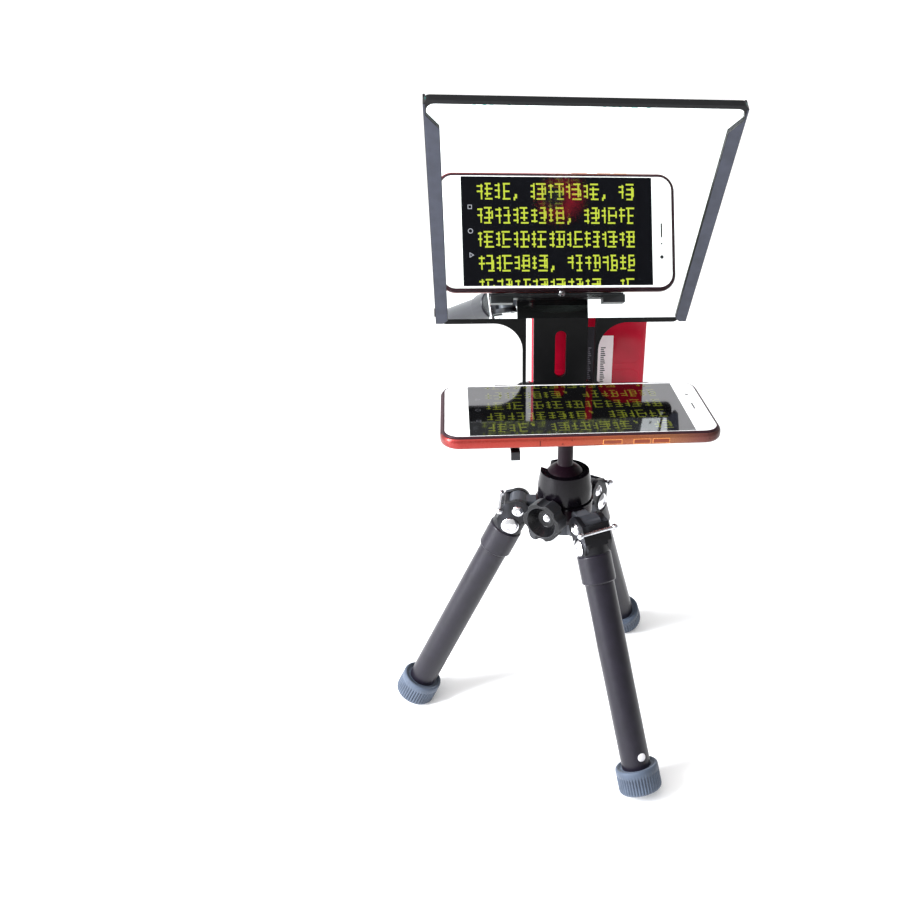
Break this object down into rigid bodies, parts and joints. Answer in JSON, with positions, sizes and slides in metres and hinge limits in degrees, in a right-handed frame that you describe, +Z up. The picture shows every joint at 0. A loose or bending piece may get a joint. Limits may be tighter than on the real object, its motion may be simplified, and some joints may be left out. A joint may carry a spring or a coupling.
{
  "type": "teleprompter",
  "caption": "Tabletop phone teleprompter: sloped beam-splitter glass over a display-phone tray, camera-phone clamp behind it, ball head and folding tripod.",
  "frame": {"origin": "on the floor, at the middle of the outline of the model seen from above", "axes": "+Z up, +Y away from the presenter (behind the glass), +X to the right as the presenter sees it"},
  "size_m": [0.1918, 0.2002, 0.4015],
  "materials": {
    "hub_grey": "matte cast alloy",
    "satin_black": "satin black anodised",
    "gloss_black": "gloss black",
    "bracket_black": "satin black die-cast",
    "leg_slate": "satin slate anodised",
    "foot_rubber": "ribbed moulded rubber",
    "screw_chrome": "polished dome",
    "lock_steel": "bright steel",
    "knob_black": "moulded",
    "nylon": "moulded nylon",
    "bolt_steel": "zinc plated",
    "plate_black": "fine black powder coat",
    "tray_black": "black anodised",
    "mat_rubber": "soft rubber",
    "hood_slate": "satin slate anodised",
    "hood_black": "satin black",
    "mirror": "beam-splitter coating",
    "clamp_black": "moulded",
    "spring_steel": "drawn wire",
    "phone_rose": "anodised rose to gold",
    "phone_white": "white bezel under glass, lit screen",
    "phone_red": "deep red gloss",
    "phone_black": "black glass",
    "lens_black": "lens ring and glass"
  },
  "bodies": {
    "hub": {"hub_spider": "hub_grey", "head_base": "satin_black", "centre_bolt": "bolt_steel", "ball_seat": "nylon"},
    "leg_left": {"leg_left_bracket": "bracket_black", "leg_left_collar": "leg_slate", "leg_left_tube": "leg_slate", "leg_left_foot": "foot_rubber", "leg_left_screws": "screw_chrome"},
    "leg_left_catch": {"leg_left_lock": "lock_steel"},
    "leg_front": {"leg_front_bracket": "bracket_black", "leg_front_collar": "leg_slate", "leg_front_tube": "leg_slate", "leg_front_foot": "foot_rubber", "leg_front_screws": "screw_chrome"},
    "leg_front_catch": {"leg_front_lock": "lock_steel"},
    "leg_rear": {"leg_rear_bracket": "bracket_black", "leg_rear_collar": "leg_slate", "leg_rear_tube": "leg_slate", "leg_rear_foot": "foot_rubber", "leg_rear_screws": "screw_chrome"},
    "leg_rear_catch": {"leg_rear_lock": "lock_steel"},
    "lock_knob": {"lock_knob": "knob_black", "lock_knob_screw": "screw_chrome"},
    "head_cup": {"ball_cup": "gloss_black"},
    "ball": {"ball_stem": "satin_black", "head_plate": "satin_black", "head_stud": "bolt_steel"},
    "bracket": {"tee_plate": "plate_black", "tray_riser": "tray_black", "tray_deck": "tray_black", "tray_mat": "mat_rubber", "tray_screws": "bolt_steel", "hinge_lugs": "plate_black", "plate_screws": "screw_chrome"},
    "tray_jaw": {"rear_jaw": "tray_black", "rear_jaw_pad": "mat_rubber"},
    "hood": {"hood_top_rail": "hood_black", "hood_left_rail": "hood_slate", "hood_right_rail": "hood_slate", "mirror_glass": "mirror", "hinge_pins": "satin_black"},
    "clamp": {"clamp_carriage": "clamp_black", "clamp_bolts": "bolt_steel", "clamp_rail": "clamp_black", "clamp_fixed_pad": "mat_rubber", "clamp_spring": "spring_steel"},
    "clamp_jaw": {"clamp_jaw": "clamp_black", "clamp_jaw_pad": "mat_rubber"},
    "display_phone": {"display_phone_body": "phone_rose", "display_phone_glass": "phone_white"},
    "display_power": {"display_power_button": "phone_rose"},
    "display_volume_up": {"display_volume_up": "phone_rose"},
    "display_volume_down": {"display_volume_down": "phone_rose"},
    "camera_phone": {"camera_phone_body": "phone_red", "camera_phone_glass": "phone_black", "camera_phone_lens": "lens_black"},
    "camera_power": {"camera_power_button": "phone_red"},
    "camera_volume_up": {"camera_volume_up": "phone_red"},
    "camera_volume_down": {"camera_volume_down": "phone_red"}
  },
  "joints": [
    {"name": "leg_left_fold", "type": "hinge", "parent": "hub", "child": "leg_left", "pos_m": [-0.01134, 0.00848, 0.1556], "axis": [-0.108, -0.9942, 0], "range_deg": [0, 25.7]},
    {"name": "leg_left_catch_pull", "type": "slide", "parent": "leg_left", "child": "leg_left_catch", "axis": [-0.8958, 0.0973, 0.4337], "range_m": [0, 0.003], "stiffness_N_per_m": 300, "springref_m": -0.002},
    {"name": "leg_front_fold", "type": "hinge", "parent": "hub", "child": "leg_front", "pos_m": [0.02905, -0.02108, 0.1556], "axis": [0.915, 0.4035, 0], "range_deg": [0, 25.7]},
    {"name": "leg_front_catch_pull", "type": "slide", "parent": "leg_front", "child": "leg_front_catch", "axis": [0.3636, -0.8244, 0.4337], "range_m": [0, 0.003], "stiffness_N_per_m": 300, "springref_m": -0.002},
    {"name": "leg_rear_fold", "type": "hinge", "parent": "hub", "child": "leg_rear", "pos_m": [0.03446, 0.02868, 0.1556], "axis": [-0.807, 0.5906, 0], "range_deg": [0, 25.7]},
    {"name": "leg_rear_catch_pull", "type": "slide", "parent": "leg_rear", "child": "leg_rear_catch", "axis": [0.5322, 0.7271, 0.4337], "range_m": [0, 0.003], "stiffness_N_per_m": 300, "springref_m": -0.002},
    {"name": "lock_knob_turn", "type": "hinge", "parent": "hub", "child": "lock_knob", "pos_m": [0.01739, 0.00536, 0.1567], "axis": [-0.5906, -0.807, 0], "range_deg": [0, 360]},
    {"name": "head_pan", "type": "hinge", "parent": "hub", "child": "head_cup", "pos_m": [0.01739, 0.00536, 0.161], "axis": [0, 0, 1], "continuous": true},
    {"name": "ball_tilt", "type": "hinge", "parent": "head_cup", "child": "ball", "pos_m": [0.01739, 0.00536, 0.172], "axis": [-0.6428, -0.766, 0], "range_deg": [-29, 60]},
    {"name": "bracket_swivel", "type": "hinge", "parent": "ball", "child": "bracket", "pos_m": [0.01739, 0.00536, 0.206], "axis": [0, 0, 1], "continuous": true},
    {"name": "rear_jaw_slide", "type": "slide", "parent": "bracket", "child": "tray_jaw", "axis": [0, 1, 0], "range_m": [0, 0.018]},
    {"name": "hood_tilt", "type": "hinge", "parent": "bracket", "child": "hood", "pos_m": [0.01739, 0.04096, 0.2711], "axis": [1, 0, 0], "range_deg": [-33, 57]},
    {"name": "clamp_height", "type": "slide", "parent": "bracket", "child": "clamp", "axis": [0, 0, 1], "range_m": [0, 0.052]},
    {"name": "clamp_jaw_open", "type": "slide", "parent": "clamp", "child": "clamp_jaw", "axis": [1, 0, 0], "range_m": [0, 0.012], "stiffness_N_per_m": 300, "springref_m": -0.008, "deforming": ["clamp_spring"]},
    {"name": "camera_phone_lift", "type": "slide", "parent": "clamp", "child": "camera_phone", "axis": [0, 0, 1], "range_m": [0, 0.12]},
    {"name": "display_phone_lift", "type": "slide", "parent": "bracket", "child": "display_phone", "axis": [0, -0.6, 0.8], "range_m": [0, 0.1]},
    {"name": "display_power_press", "type": "slide", "parent": "display_phone", "child": "display_power", "axis": [0, 1, 0], "range_m": [0, 0.0004], "stiffness_N_per_m": 500, "springref_m": -0.0004},
    {"name": "display_volume_up_press", "type": "slide", "parent": "display_phone", "child": "display_volume_up", "axis": [0, 1, 0], "range_m": [0, 0.0004], "stiffness_N_per_m": 500, "springref_m": -0.0004},
    {"name": "display_volume_down_press", "type": "slide", "parent": "display_phone", "child": "display_volume_down", "axis": [0, 1, 0], "range_m": [0, 0.0004], "stiffness_N_per_m": 500, "springref_m": -0.0004},
    {"name": "camera_power_press", "type": "slide", "parent": "camera_phone", "child": "camera_power", "axis": [1, 0, 0], "range_m": [0, 0.0004], "stiffness_N_per_m": 500, "springref_m": -0.0004},
    {"name": "camera_volume_up_press", "type": "slide", "parent": "camera_phone", "child": "camera_volume_up", "axis": [1, 0, 0], "range_m": [0, 0.0004], "stiffness_N_per_m": 500, "springref_m": -0.0004},
    {"name": "camera_volume_down_press", "type": "slide", "parent": "camera_phone", "child": "camera_volume_down", "axis": [1, 0, 0], "range_m": [0, 0.0004], "stiffness_N_per_m": 500, "springref_m": -0.0004}
  ]
}
